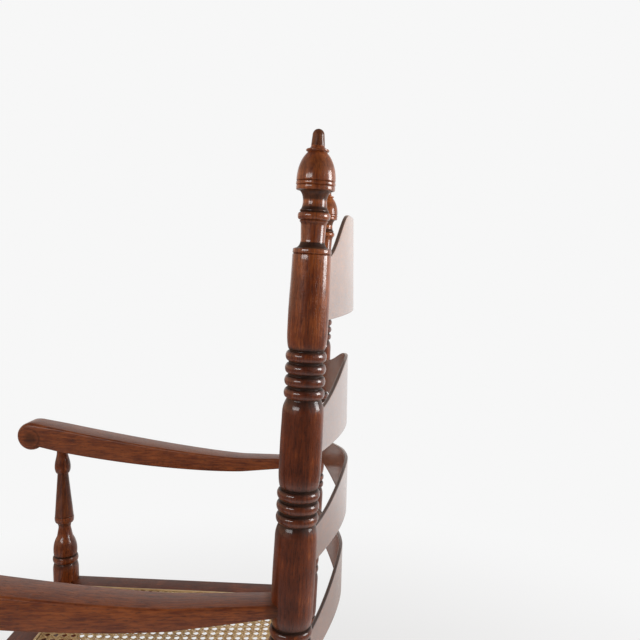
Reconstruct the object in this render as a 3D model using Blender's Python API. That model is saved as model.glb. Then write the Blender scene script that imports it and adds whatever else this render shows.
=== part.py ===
"""Ladder-back armchair with acorn finials, bowed slats, scroll arms and a caned seat.

Metres, +Z up. The sitter faces -Y, so +X is the sitter's left. The origin is on the floor, under the middle
of the chair's box. Rear posts lean back; the posts, slats, arms, rails and stretchers are separate pieces
that join by tenons in sockets, with CLEARANCE round each tenon.
"""

import math

import bmesh
import bpy
from mathutils import Matrix, Vector

# The chair as a whole
REAR_POST_LENGTH = 1.1083
BACK_RAKE = math.radians(3.3)
REAR_SPACING = 0.480
FRONT_SPACING = 0.536
SEAT_HEIGHT = 0.440
SEAT_DEPTH = 0.414
CLEARANCE = 0.0003

# Turned work: each cut is a shape, its length down the post, the radius where it ends and, on a bead, a crown
POST_SIDES = 14
STRETCHER_SIDES = 12
RING_PITCH = 0.0116
FINIAL = (
    ("dome", 0.0053, 0.0054),
    ("line", 0.0094, 0.0062),
    ("flare", 0.0034, 0.0085),
    ("line", 0.0026, 0.0102),
    ("oval", 0.0262, 0.0178),
    ("line", 0.0075, 0.0177),
    ("line", 0.0005, 0.0152),
    ("hollow", 0.0099, 0.0109),
    ("flare", 0.0079, 0.0134),
    ("line", 0.0017, 0.0134),
    ("bead", 0.0074, 0.0132, 0.0151),
    ("hollow", 0.0052, 0.0117),
    ("line", 0.0128, 0.0111),
    ("flare", 0.0076, 0.0154),
    ("line", 0.0013, 0.0179),
    ("line", 0.0037, 0.0179),
    ("line", 0.0014, 0.0172),
)
# Plain lengths of the rear post, from the finial down: length, radius, crown and groove of the rings below
BACK_SHAFTS = (
    (0.0882, 0.0190, 0.0192, 0.0163),
    (0.0850, 0.0201, 0.0203, 0.0174),
    (0.1010, 0.0205, 0.0207, 0.0178),
)
RING_COUNTS = (4, 3, 2)
SHOULDER_LENGTH = 0.011
LAST_SHAFT_RADIUS = 0.0207
BLOCK_RADIUS = 0.0210
BLOCK_ABOVE_SEAT = 0.030
BLOCK_BELOW_SEAT = 0.046
BLOCK_GROOVE_RADIUS = 0.0185
REAR_LEG_RADIUS = 0.0205
REAR_FOOT_RADIUS = 0.0165

# Front posts: arm support from the neck in the arm down to the seat, then the leg
ARM_NECK_RADIUS = 0.0086
ARM_NECK_LENGTH = 0.0040
SUPPORT_TOP = (
    ("swell", 0.0278, 0.0130),
    ("flare", 0.0112, 0.0087),
    ("line", 0.0740, 0.0152),
    ("bead", 0.0117, 0.0134, 0.0166),
    ("hollow", 0.0090, 0.0100),
    ("line", 0.0155, 0.0130),
)
VASE_RADIUS = 0.0195
VASE_SHOULDER = 0.0090
FRONT_LEG_RADIUS = 0.0195
ANKLE_RADIUS = 0.0180
FRONT_FOOT = (
    ("bead", 0.0118, 0.0165, 0.0190),
    ("hollow", 0.0120, 0.0130),
    ("dome", 0.0300, 0.0195),
    ("flare", 0.0300, 0.0140),
)

# Slats, one to a plain length of the posts: drop from its top, height at the ends, rise of the crest, sag of
# the lower edge, then the bows of both edges, and the shares of the half width where the crest falls
SLATS = {
    "crest_slat": (0.0010, 0.064, 0.049, 0.001),
    "upper_slat": (0.0240, 0.043, 0.035, 0.0095),
    "middle_slat": (0.0240, 0.037, 0.022, 0.0110),
    "lower_slat": (0.0165, 0.033, 0.024, 0.0080),
}
SLAT_BOWS = {
    "crest_slat": (0.0380, 0.0447),
    "upper_slat": (0.0413, 0.0453),
    "middle_slat": (0.0494, 0.0514),
    "lower_slat": (0.0494, 0.0514),
}
CREST_SHARES = {
    "crest_slat": (0.30, 0.76),
    "upper_slat": (0.00, 0.84),
    "middle_slat": (0.00, 0.80),
    "lower_slat": (0.00, 0.80),
}
SLAT_THICKNESS = 0.0044
SLAT_BEND = 1.5
SLAT_END_INSET = 0.0080
SLAT_COLUMNS = 28
MORTISE_COLUMNS = 3
MORTISE_OVERCUT = 0.006

# Arms: heights are from the middle of the rear tenon, lengths forward from the rear post's axis
ARM_DROP = 0.0811
ARM_REAR_WIDTH = 0.030
ARM_FRONT_WIDTH = 0.045
ARM_REAR_THICKNESS = 0.0111
ARM_FRONT_THICKNESS = 0.0391
ARM_SWELL_POWER = 1.61
ARM_RISE = 0.0522
ARM_RISE_START = 0.113
ARM_RISE_POWER = 1.315
ARM_OVERHANG = 0.069
SCROLL_RADIUS = 0.0232
SCROLL_DROP = 0.0239
SCROLL_NOTCH = math.radians(-130)
ARM_EDGE = 0.0045
ARM_TENON_RADIUS = 0.0050
ARM_TENON_INSET = 0.0060
ARM_SOCKET_DEPTH = 0.021
ARM_STATIONS = 12
SCROLL_STATIONS = 7

# Seat: flat rails between the posts, measured inwards from the lines that join the posts' axes
RAIL_THICKNESS = 0.026
RAIL_OUTER = -0.011
RAIL_INNER = 0.046
RAIL_EDGE = 0.003
RAIL_TENON_WIDTH = 0.013
RAIL_TENON_HEIGHT = 0.012
RAIL_TENON_WALL = 0.0030
CANE_THICKNESS = 0.0014
CANE_STRAND = 0.0085
CANE_GAPS_ACROSS = 12
CANE_GAPS_DEEP = 10
CANE_LAP = 0.010
CANE_LIP_DEPTH = 0.006
CANE_MARGIN = 0.003
SPLINE_WIDTH = 0.0034
SPLINE_DEPTH = 0.0060
SPLINE_PROUD = 0.0020
SPLINE_EDGE = 0.0008

# Stretchers: heights at the front, the side ones' drop below them, the turned shapes from tenon to middle
UPPER_STRETCHER_HEIGHT = 0.300
LOWER_STRETCHER_HEIGHT = 0.165
SIDE_STRETCHER_DROP = 0.032
REAR_STRETCHER_HEIGHT = 0.200
STRETCHER_TENON_RADIUS = 0.0075
STRETCHER_TENON_LENGTH = 0.018
STRETCHER_INSET = 0.0060
STRETCHER_END = ("dome", 0.030, 0.0105)
STRETCHER_MIDDLE = 0.0125
TURNED_MIDDLE = (
    ("bead", 0.0110, 0.0115, 0.0150),
    ("hollow", 0.0090, 0.0098),
    ("dome", 0.0300, 0.0175),
)

WELD = 0.000001
ARC_STEPS = 2
BEAD_STEPS = 3
DOME_STEPS = 3
OVAL_STEPS = 5
SMOOTH_BELOW = math.radians(35)
EASE_ABOVE = math.radians(40)
WOOD = (0.120, 0.036, 0.016)
CANE = (0.620, 0.420, 0.200)
REED = (0.560, 0.370, 0.170)
VARNISH_ROUGHNESS = 0.28
CANE_ROUGHNESS = 0.55

for old in list(bpy.data.objects):
    bpy.data.objects.remove(old)


# Turned profiles

def cut_points(cut, start_radius, start):
    """The points of one cut as (radius, depth), after its first."""
    shape, length, end_radius = cut[:3]
    if shape == "line":
        return [(end_radius, start + length)]
    change = end_radius - start_radius
    points = []
    if shape in ("dome", "oval"):
        first = math.asin(start_radius / end_radius)
        reach = length / math.cos(first)
        steps = OVAL_STEPS if shape == "oval" else DOME_STEPS
        for step in range(1, steps + 1):
            angle = first + (math.pi / 2 - first) * step / steps
            points.append((end_radius * math.sin(angle), start + reach * (math.cos(first) - math.cos(angle))))
        return points
    if shape == "bead":
        crown = cut[3]
        for step in range(1, BEAD_STEPS + 1):
            angle = math.pi * step / BEAD_STEPS
            edge = start_radius + change * step / BEAD_STEPS
            bulge = (crown - max(start_radius, end_radius)) * math.sin(angle)
            points.append((edge + bulge, start + length * (1 - math.cos(angle)) / 2))
        return points
    for step in range(1, ARC_STEPS + 1):
        angle = math.pi / 2 * step / ARC_STEPS
        if shape == "hollow":
            points.append((start_radius + change * math.sin(angle), start + length * (1 - math.cos(angle))))
        elif shape == "swell":
            points.append((start_radius + change * math.sin(angle) ** 2, start + length * step / ARC_STEPS))
        else:
            points.append((start_radius + change * (1 - math.cos(angle)), start + length * math.sin(angle)))
    return points


def turn(cuts, start_radius=0.0):
    """The outline that a row of cuts leaves, as (radius, depth) from the top down."""
    outline = [(start_radius, 0.0)]
    for cut in cuts:
        radius, depth = outline[-1]
        outline += cut_points(cut, radius, depth)
    return outline


def length_of(cuts):
    return sum(cut[1] for cut in cuts)


def rings(count, crown, groove):
    return [("bead", RING_PITCH, groove, crown)] * count


def shaft(length, radius, end_radius):
    """A plain length with a round shoulder at each end."""
    middle = length - 2 * SHOULDER_LENGTH
    return [
        ("dome", SHOULDER_LENGTH, radius),
        ("line", middle, radius),
        ("flare", SHOULDER_LENGTH, end_radius),
    ]


# Places of the posts

def rear_axis(side, height):
    """The point of a rear post's axis at a height above the floor."""
    return Vector((side * REAR_SPACING / 2, rear_foot_y + height * math.tan(BACK_RAKE), height))


def front_axis(side, height):
    return Vector((side * FRONT_SPACING / 2, front_y, height))


def along_post(depth):
    """Distance up the rear post of a point that lies this far below its tip."""
    return REAR_POST_LENGTH - depth


shaft_starts = [length_of(FINIAL)]
for (shaft_length, _, _, _), ring_count in zip(BACK_SHAFTS, RING_COUNTS):
    shaft_starts.append(shaft_starts[-1] + shaft_length + ring_count * RING_PITCH)
slat_starts = dict(zip(SLATS, shaft_starts))
arm_depth = shaft_starts[2] + ARM_DROP
arm_height = along_post(arm_depth) * math.cos(BACK_RAKE)
crest_drop, crest_height, crest_rise, crest_sag = SLATS["crest_slat"]
crest_depths = (crest_drop - crest_rise, crest_drop + crest_height + crest_sag)

# Everything is set out from the rear feet, then centred between the arm scrolls and the crest slat's back
front_from_foot = SEAT_HEIGHT * math.tan(BACK_RAKE) - SEAT_DEPTH
arm_from_foot = arm_height * math.tan(BACK_RAKE)
splay = math.atan2((FRONT_SPACING - REAR_SPACING) / 2, arm_from_foot - front_from_foot)
arm_span = (arm_from_foot - front_from_foot) / math.cos(splay)
arm_reach = arm_span + ARM_OVERHANG
back_most = max(
    along_post(slat_starts["crest_slat"] + depth) * math.sin(BACK_RAKE)
    + (bow + SLAT_THICKNESS / 2) * math.cos(BACK_RAKE)
    for depth, bow in zip(crest_depths, SLAT_BOWS["crest_slat"])
)
scroll_corner = arm_reach - SCROLL_RADIUS
front_most = arm_from_foot - arm_reach * math.cos(splay)
front_most -= (ARM_FRONT_WIDTH / 2 - ARM_EDGE) * math.sin(splay)
rear_foot_y = -(front_most + back_most) / 2
front_y = rear_foot_y + front_from_foot


# Objects

def finish_of(name, colour, roughness):
    material = bpy.data.materials.new(name + "_finish")
    material.use_nodes = True
    shader = material.node_tree.nodes["Principled BSDF"]
    shader.inputs["Base Color"].default_value = (*colour, 1.0)
    shader.inputs["Roughness"].default_value = roughness
    shader.inputs["Metallic"].default_value = 0.0
    return material


def add_piece(name, bm, colour=WOOD, roughness=VARNISH_ROUGHNESS, place=Matrix.Identity(4), parent=None):
    bmesh.ops.remove_doubles(bm, verts=bm.verts, dist=WELD)
    bmesh.ops.recalc_face_normals(bm, faces=bm.faces)
    mesh = bpy.data.meshes.new(name)
    bm.to_mesh(mesh)
    bm.free()
    mesh.shade_smooth()
    mesh.set_sharp_from_angle(angle=SMOOTH_BELOW)
    piece = bpy.data.objects.new(name, mesh)
    bpy.context.collection.objects.link(piece)
    piece.matrix_local = place
    piece.parent = parent
    mesh.materials.append(finish_of(name, colour, roughness))
    return piece


def add_helper(name, bm, place=Matrix.Identity(4), parent=None):
    """A cutter, or a tenon to be joined to its piece."""
    helper = add_piece(name, bm, place=place, parent=parent)
    helper.hide_render = True
    helper.display_type = "WIRE"
    return helper


def combine(piece, helper, operation="DIFFERENCE"):
    modifier = piece.modifiers.new(helper.name, "BOOLEAN")
    modifier.operation = operation
    modifier.object = helper
    modifier.solver = "EXACT"


def ease_edges(piece, width):
    bevel = piece.modifiers.new("eased_edges", "BEVEL")
    bevel.width = width
    bevel.segments = 1
    bevel.limit_method = "ANGLE"
    bevel.angle_limit = EASE_ABOVE


def turned_mesh(outline, length, sides):
    """A turning about Z, from (radius, depth) points; it ends at the top and bottom on its axis."""
    bm = bmesh.new()
    profile = [(0.0, outline[0][1])] + outline + [(0.0, outline[-1][1])]
    chain = [bm.verts.new((radius, 0.0, length - depth)) for radius, depth in profile]
    edges = []
    for upper, lower in zip(chain, chain[1:]):
        if (upper.co - lower.co).length > WELD:
            edges.append(bm.edges.new((upper, lower)))
    bmesh.ops.spin(
        bm, geom=chain + edges, cent=(0, 0, 0), axis=(0, 0, 1), angle=2 * math.pi, steps=sides, use_merge=True
    )
    return bm


def rod_mesh(radius, length, sides):
    return turned_mesh([(radius, 0.0), (radius, length)], length, sides)


def aim(start, end):
    """A place whose origin is start and whose +Z points to end."""
    return Matrix.Translation(start) @ (end - start).to_track_quat("Z", "Y").to_matrix().to_4x4()


def prism_mesh(corners, low, high):
    """A plan outline raised from one height to another."""
    bm = bmesh.new()
    base = bm.faces.new([bm.verts.new((corner.x, corner.y, low)) for corner in corners])
    raised = bmesh.ops.extrude_face_region(bm, geom=[base])["geom"]
    top = [element for element in raised if isinstance(element, bmesh.types.BMVert)]
    bmesh.ops.translate(bm, verts=top, vec=(0, 0, high - low))
    return bm


# Rear posts, which lean with the back

back = bpy.data.objects.new("back_frame", None)
bpy.context.collection.objects.link(back)
back.location = (0, rear_foot_y, 0)
back.rotation_euler = (-BACK_RAKE, 0, 0)

block_top = SEAT_HEIGHT + BLOCK_ABOVE_SEAT
block_bottom = SEAT_HEIGHT - BLOCK_BELOW_SEAT
block_cuts = [
    ("bead", RING_PITCH, BLOCK_GROOVE_RADIUS, BLOCK_RADIUS),
    *shaft(block_top - block_bottom, BLOCK_RADIUS, BLOCK_GROOVE_RADIUS),
    ("bead", RING_PITCH, BLOCK_GROOVE_RADIUS, BLOCK_RADIUS),
]


def rear_post_outline():
    cuts = list(FINIAL)
    for (shaft_length, radius, crown, groove), count in zip(BACK_SHAFTS, RING_COUNTS):
        cuts += shaft(shaft_length, radius, groove)
        cuts += rings(count, crown, groove)
    block_depth = REAR_POST_LENGTH - block_top / math.cos(BACK_RAKE) - RING_PITCH
    cuts += shaft(block_depth - length_of(cuts), LAST_SHAFT_RADIUS, BLOCK_GROOVE_RADIUS)
    cuts += block_cuts
    cuts.append(("dome", SHOULDER_LENGTH, REAR_LEG_RADIUS))
    cuts.append(("line", REAR_POST_LENGTH - length_of(cuts), REAR_FOOT_RADIUS))
    return turn(cuts)


def cut_foot_level(bm):
    """Slopes the foot of a leaning post so that it stands flat on the floor."""
    for vert in bm.verts:
        if vert.co.z < WELD:
            vert.co.z = vert.co.y * math.tan(BACK_RAKE)


rear_posts = {}
for label, side in (("left", 1), ("right", -1)):
    mesh = turned_mesh(rear_post_outline(), REAR_POST_LENGTH, POST_SIDES)
    cut_foot_level(mesh)
    place = Matrix.Translation((side * REAR_SPACING / 2, 0, 0))
    rear_posts[side] = add_piece(label + "_rear_post", mesh, place=place, parent=back)


# Slats, bowed backwards and let into the rear posts

def slat_edges(name, x):
    """Height, bow and slope of the bow of a slat's upper and lower edges at x, in the frame of the back."""
    drop, end_height, rise, sag = SLATS[name]
    flat, span = CREST_SHARES[name]
    half = REAR_SPACING / 2
    across = abs(x) / half
    swing = min(max((across - flat) / (span - flat), 0.0), 1.0)
    end_top = along_post(slat_starts[name] + drop)
    top = end_top + rise * (1 + math.cos(math.pi * swing)) / 2
    bottom = end_top - end_height - sag * (1 + math.cos(math.pi * min(across, 1.0))) / 2
    edges = []
    for height, bow in zip((top, bottom), SLAT_BOWS[name]):
        slope = -math.copysign(bow * SLAT_BEND * across ** (SLAT_BEND - 1) / half, x)
        edges.append((height, bow * (1 - across**SLAT_BEND), slope))
    return edges


def slat_mesh(name, first, last, columns, grow=0.0):
    """The stretch of a bowed slat from first to last, grown on its faces and edges."""
    bm = bmesh.new()
    sections = []
    for column in range(columns + 1):
        x = first + (last - first) * column / columns
        loop = []
        for (height, offset, slope), sign in zip(slat_edges(name, x), (1, -1)):
            normal = Vector((-slope, 1.0, 0.0)).normalized() * (SLAT_THICKNESS / 2 + grow)
            middle = Vector((x, offset, height + sign * grow))
            loop += [middle - sign * normal, middle + sign * normal]
        sections.append([bm.verts.new(corner) for corner in loop])
    for here, there in zip(sections, sections[1:]):
        for corner in range(4):
            following = (corner + 1) % 4
            bm.faces.new((here[corner], here[following], there[following], there[corner]))
    bm.faces.new(sections[0])
    bm.faces.new(reversed(sections[-1]))
    return bm


slat_end = REAR_SPACING / 2 - SLAT_END_INSET
mortise_mouth = REAR_SPACING / 2 - LAST_SHAFT_RADIUS - MORTISE_OVERCUT
for name in SLATS:
    add_piece(name, slat_mesh(name, -slat_end, slat_end, SLAT_COLUMNS), parent=back)
    for side, post in rear_posts.items():
        bounds = (side * mortise_mouth, side * (slat_end + CLEARANCE))
        cutter = slat_mesh(name, *bounds, MORTISE_COLUMNS, CLEARANCE)
        combine(post, add_helper(f"{name}_mortise_{post.name}", cutter, parent=back))


# Front posts: arm supports above the seat, turned legs below

def arm_top(reach):
    lift = max(reach - ARM_RISE_START, 0.0) / (scroll_corner - ARM_RISE_START)
    return ARM_REAR_THICKNESS / 2 + ARM_RISE * lift**ARM_RISE_POWER


def arm_bottom(reach):
    ease = 1 - min(reach / arm_span, 1.0)
    thickness = ARM_FRONT_THICKNESS - (ARM_FRONT_THICKNESS - ARM_REAR_THICKNESS) * ease**ARM_SWELL_POWER
    return arm_top(reach) - thickness


support_height = arm_height + arm_bottom(arm_span)
front_post_length = support_height + ARM_SOCKET_DEPTH


def front_post_outline():
    cuts = [("line", ARM_SOCKET_DEPTH + ARM_NECK_LENGTH, ARM_NECK_RADIUS), *SUPPORT_TOP]
    vase = front_post_length - block_top - RING_PITCH - VASE_SHOULDER - length_of(cuts)
    cuts.append(("dome", vase, VASE_RADIUS))
    cuts.append(("flare", VASE_SHOULDER, BLOCK_GROOVE_RADIUS))
    cuts += block_cuts
    cuts.append(("dome", SHOULDER_LENGTH, FRONT_LEG_RADIUS))
    cuts.append(("line", front_post_length - length_of(cuts) - length_of(FRONT_FOOT), ANKLE_RADIUS))
    cuts += FRONT_FOOT
    return turn(cuts, ARM_NECK_RADIUS)


front_posts = {}
for label, side in (("left", 1), ("right", -1)):
    mesh = turned_mesh(front_post_outline(), front_post_length, POST_SIDES)
    place = Matrix.Translation(front_axis(side, 0))
    front_posts[side] = add_piece(label + "_front_post", mesh, place=place)


# Arms, from a round tenon in the rear post over the front post to a scroll

def arm_outline():
    """Pairs of points, above and below, from the rear post to the front of the scroll."""
    scroll_height = arm_top(scroll_corner) - SCROLL_DROP
    last_station = scroll_corner + SCROLL_RADIUS * math.cos(SCROLL_NOTCH)
    pairs = []
    for station in range(ARM_STATIONS):
        reach = BLOCK_RADIUS / 2 + (last_station - BLOCK_RADIUS / 2) * station / ARM_STATIONS
        pairs.append(((reach, arm_top(reach)), (reach, arm_bottom(reach))))
    for station in range(SCROLL_STATIONS + 1):
        left = 1 - station / SCROLL_STATIONS
        ends = []
        for angle in (math.pi / 2 * left, SCROLL_NOTCH * left):
            forward = scroll_corner + SCROLL_RADIUS * math.cos(angle)
            ends.append((forward, scroll_height + SCROLL_RADIUS * math.sin(angle)))
        pairs.append(tuple(ends))
    return pairs


def arm_half_width(reach):
    share = math.sin(math.pi / 2 * min(reach / arm_span, 1.0))
    return (ARM_REAR_WIDTH + (ARM_FRONT_WIDTH - ARM_REAR_WIDTH) * share) / 2


def arm_mesh():
    """An arm along +Y of its own frame, which is turned to point forwards."""
    bm = bmesh.new()
    sections = []
    for above, below in arm_outline():
        loop = []
        for (reach, height), sign in ((above, -1), (above, 1), (below, 1), (below, -1)):
            loop.append(bm.verts.new((sign * arm_half_width(reach), reach, height)))
        sections.append(loop)
    for here, there in zip(sections, sections[1:]):
        for corner in range(4):
            following = (corner + 1) % 4
            bm.faces.new((here[corner], here[following], there[following], there[corner]))
    bm.faces.new(reversed(sections[0]))
    bmesh.ops.remove_doubles(bm, verts=bm.verts, dist=WELD)
    bmesh.ops.dissolve_degenerate(bm, edges=bm.edges, dist=WELD)
    return bm


def arm_place(side):
    return Matrix.Translation(rear_axis(side, arm_height)) @ Matrix.Rotation(math.pi + side * splay, 4, "Z")


post_at_arm = BACK_SHAFTS[2][1]
for label, side in (("left", 1), ("right", -1)):
    arm = add_piece(label + "_arm", arm_mesh(), place=arm_place(side))
    ease_edges(arm, ARM_EDGE)
    start = rear_axis(side, arm_height)
    forwards = (front_axis(side, arm_height) - start).normalized()
    post_cut = rod_mesh(post_at_arm + CLEARANCE, 4 * post_at_arm, POST_SIDES)
    post_place = Matrix.Translation((side * REAR_SPACING / 2, 0, along_post(arm_depth) - 2 * post_at_arm))
    combine(arm, add_helper(label + "_arm_cope", post_cut, place=post_place, parent=back))
    tenon_place = aim(start + forwards * ARM_TENON_INSET, front_axis(side, arm_height))
    tenon = rod_mesh(ARM_TENON_RADIUS, 2 * post_at_arm, STRETCHER_SIDES)
    combine(arm, add_helper(label + "_arm_tenon", tenon, place=tenon_place), "UNION")
    socket_place = aim(start + forwards * (ARM_TENON_INSET - CLEARANCE), front_axis(side, arm_height))
    socket = rod_mesh(ARM_TENON_RADIUS + CLEARANCE, 2 * post_at_arm, STRETCHER_SIDES)
    combine(rear_posts[side], add_helper(label + "_arm_socket", socket, place=socket_place))
    neck_socket = rod_mesh(ARM_NECK_RADIUS + CLEARANCE, 2 * ARM_SOCKET_DEPTH + CLEARANCE, POST_SIDES)
    neck_place = Matrix.Translation(front_axis(side, front_post_length - 2 * ARM_SOCKET_DEPTH))
    combine(arm, add_helper(label + "_neck_socket", neck_socket, place=neck_place))


# Seat rails, mitred to each other, coped round the posts and tenoned into them

rail_middle = SEAT_HEIGHT - RAIL_THICKNESS / 2
axes = [
    front_axis(-1, rail_middle),
    front_axis(1, rail_middle),
    rear_axis(1, rail_middle),
    rear_axis(-1, rail_middle),
]
RAIL_SIDES = ("front", "left", "rear", "right")
POST_SIGNS = (-1, 1, 1, -1)


def line_inwards(index, distance):
    """A point and a direction of one side of the seat's plan, moved inwards."""
    start = axes[index].xy
    along = (axes[(index + 1) % 4].xy - start).normalized()
    return start + Vector((-along.y, along.x)) * distance, along


def corner_at(index, distance):
    """The corner where one side meets the side before it, both moved inwards."""
    point, along = line_inwards(index, distance)
    other, direction = line_inwards(index - 1, distance)
    run = (other - point).cross(direction) / along.cross(direction)
    return point + along * run


def bar_corners(index, outer, inner, gap):
    """The plan of one bar of the seat's frame, mitred at both ends with half of a gap."""
    _, along = line_inwards(index, outer)
    shift = along * gap / math.sqrt(2)
    following = (index + 1) % 4
    return [
        corner_at(index, outer) + shift,
        corner_at(following, outer) - shift,
        corner_at(following, inner) - shift,
        corner_at(index, inner) + shift,
    ]


def tenon_mesh(grow):
    """A rail's tenon along +Z, from its end inside the post to the middle of the rail's end."""
    bm = bmesh.new()
    bmesh.ops.create_cube(bm, size=1.0)
    size = (RAIL_TENON_WIDTH + 2 * grow, RAIL_TENON_HEIGHT + 2 * grow, tenon_length + grow)
    bmesh.ops.scale(bm, verts=bm.verts, vec=size)
    bmesh.ops.translate(bm, verts=bm.verts, vec=(0, 0, (tenon_length - grow) / 2))
    return bm


def post_of(corner):
    return (front_posts if corner < 2 else rear_posts)[POST_SIGNS[corner]]


groove_inner = RAIL_INNER - CANE_LAP
groove_outer = groove_inner - CANE_THICKNESS - SPLINE_WIDTH - 3 * CLEARANCE
groove_bottom = SEAT_HEIGHT - max(CANE_LIP_DEPTH, SPLINE_DEPTH) - CLEARANCE
tenon_inset = RAIL_TENON_WIDTH / 2 + RAIL_TENON_WALL
tenon_length = 2 * BLOCK_RADIUS - tenon_inset
cope_height = 2 * RAIL_THICKNESS
copes = []
for corner in range(4):
    cope = rod_mesh(BLOCK_RADIUS + CLEARANCE, 2 * cope_height, POST_SIDES)
    if corner < 2:
        place = Matrix.Translation(axes[corner] - Vector((0, 0, cope_height)))
        copes.append(add_helper(f"rail_cope_{corner}", cope, place=place))
    else:
        up = rail_middle / math.cos(BACK_RAKE) - cope_height
        place = Matrix.Translation((POST_SIGNS[corner] * REAR_SPACING / 2, 0, up))
        copes.append(add_helper(f"rail_cope_{corner}", cope, place=place, parent=back))

for index, label in enumerate(RAIL_SIDES):
    following = (index + 1) % 4
    plan = bar_corners(index, RAIL_OUTER, RAIL_INNER, CLEARANCE)
    rail = add_piece(label + "_seat_rail", prism_mesh(plan, SEAT_HEIGHT - RAIL_THICKNESS, SEAT_HEIGHT))
    ease_edges(rail, RAIL_EDGE)
    groove_plan = bar_corners(index, groove_outer, groove_inner, -RAIL_INNER)
    groove = prism_mesh(groove_plan, groove_bottom, SEAT_HEIGHT + RAIL_THICKNESS)
    combine(rail, add_helper(label + "_cane_groove", groove))
    for corner, far_corner in ((index, following), (following, index)):
        combine(rail, copes[corner])
        inwards = (axes[far_corner] - axes[corner]).normalized()
        place = aim(axes[corner] + inwards * tenon_inset, axes[far_corner])
        tenon = add_helper(f"{label}_rail_tenon_{corner}", tenon_mesh(0.0), place=place)
        combine(rail, tenon, "UNION")
        mortise = add_helper(f"{label}_rail_mortise_{corner}", tenon_mesh(CLEARANCE), place=place)
        combine(post_of(corner), mortise)


# Cane panel: a net whose edge turns down into the groove, held there by four splines

def between(corners, across, deep):
    front = corners[0].lerp(corners[1], across)
    rear = corners[3].lerp(corners[2], across)
    return front.lerp(rear, deep)


def cane_mesh():
    """The outer skin of the panel; its thickness is added inwards."""
    bm = bmesh.new()
    edge = [corner_at(index, groove_inner - CLEARANCE - CANE_THICKNESS) for index in range(4)]
    field = [corner_at(index, RAIL_INNER + CANE_MARGIN) for index in range(4)]
    top = SEAT_HEIGHT + CLEARANCE + CANE_THICKNESS
    grid = []
    for row in range(CANE_GAPS_DEEP + 3):
        deep = (row - 1) / CANE_GAPS_DEEP
        line = []
        for column in range(CANE_GAPS_ACROSS + 3):
            across = (column - 1) / CANE_GAPS_ACROSS
            inside = 0 <= across <= 1 and 0 <= deep <= 1
            point = between(field if inside else edge, min(max(across, 0), 1), min(max(deep, 0), 1))
            line.append(bm.verts.new((point.x, point.y, top)))
        grid.append(line)
    gaps = []
    for row in range(CANE_GAPS_DEEP + 2):
        for column in range(CANE_GAPS_ACROSS + 2):
            nearer = grid[row][column : column + 2]
            farther = grid[row + 1][column : column + 2]
            face = bm.faces.new((*nearer, *reversed(farther)))
            if 0 < row <= CANE_GAPS_DEEP and 0 < column <= CANE_GAPS_ACROSS:
                gaps.append(face)
    rim = [edge for edge in bm.edges if edge.is_boundary]
    skirt = bmesh.ops.extrude_edge_only(bm, edges=rim)["geom"]
    hem = [element for element in skirt if isinstance(element, bmesh.types.BMVert)]
    bmesh.ops.translate(bm, verts=hem, vec=(0, 0, SEAT_HEIGHT - CANE_LIP_DEPTH - top))
    bmesh.ops.inset_individual(bm, faces=gaps, thickness=CANE_STRAND / 2, use_even_offset=True)
    bmesh.ops.delete(bm, geom=gaps, context="FACES")
    return bm


panel = add_piece("cane_panel", cane_mesh(), CANE, CANE_ROUGHNESS)
weave = panel.modifiers.new("cane_thickness", "SOLIDIFY")
weave.thickness = CANE_THICKNESS
weave.offset = -1.0
weave.use_even_offset = True

for index, label in enumerate(RAIL_SIDES):
    plan = bar_corners(index, groove_outer + CLEARANCE, groove_outer + CLEARANCE + SPLINE_WIDTH, CLEARANCE)
    bar = prism_mesh(plan, SEAT_HEIGHT - SPLINE_DEPTH, SEAT_HEIGHT + SPLINE_PROUD)
    spline = add_piece(label + "_cane_spline", bar, REED, CANE_ROUGHNESS)
    ease_edges(spline, SPLINE_EDGE)


# Stretchers, turned, with their ends in round sockets

def stretcher_outline(length, middle_cuts):
    half = [("line", STRETCHER_TENON_LENGTH, STRETCHER_TENON_RADIUS), STRETCHER_END]
    plain = length / 2 - length_of(half) - length_of(middle_cuts)
    plain_end = middle_cuts[0][2] if middle_cuts else STRETCHER_MIDDLE
    half.append(("line", plain, plain_end))
    half += middle_cuts
    outline = turn(half, STRETCHER_TENON_RADIUS)
    mirrored = [(radius, length - depth) for radius, depth in reversed(outline[:-1])]
    return outline + mirrored


def add_stretcher(name, start, end, posts, middle_cuts=()):
    towards = (end - start).normalized()
    length = (end - start).length - 2 * STRETCHER_INSET
    bm = turned_mesh(stretcher_outline(length, middle_cuts), length, STRETCHER_SIDES)
    add_piece(name, bm, place=aim(start + towards * STRETCHER_INSET, end))
    for point, direction, post in ((start, towards, posts[0]), (end, -towards, posts[1])):
        socket = rod_mesh(STRETCHER_TENON_RADIUS + CLEARANCE, 2 * BLOCK_RADIUS, STRETCHER_SIDES)
        mouth = point + direction * (STRETCHER_INSET - CLEARANCE)
        cutter = add_helper(f"{name}_socket_{post.name}", socket, place=aim(mouth, mouth + direction))
        combine(post, cutter)


for label, height in (("upper", UPPER_STRETCHER_HEIGHT), ("lower", LOWER_STRETCHER_HEIGHT)):
    ends = (front_posts[1], front_posts[-1])
    points = [front_axis(side, height) for side in (1, -1)]
    add_stretcher(f"{label}_front_stretcher", *points, ends, TURNED_MIDDLE)
    side_height = height - SIDE_STRETCHER_DROP
    for side_label, side in (("left", 1), ("right", -1)):
        ends = (front_posts[side], rear_posts[side])
        name = f"{side_label}_{label}_stretcher"
        add_stretcher(name, front_axis(side, side_height), rear_axis(side, side_height), ends)
ends = (rear_posts[1], rear_posts[-1])
rear_ends = [rear_axis(side, REAR_STRETCHER_HEIGHT) for side in (1, -1)]
add_stretcher("rear_stretcher", *rear_ends, ends)
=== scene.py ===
"""Looks of a ladder-back armchair with acorn finials, scroll arms and a caned seat.

The script dresses the chair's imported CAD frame. Units are metres, with +Z up. The sitter faces -Y, so +X is
the sitter's left, and the photograph looks from that side.
"""

import math

import bpy
from mathutils import Matrix, Vector, kdtree


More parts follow.
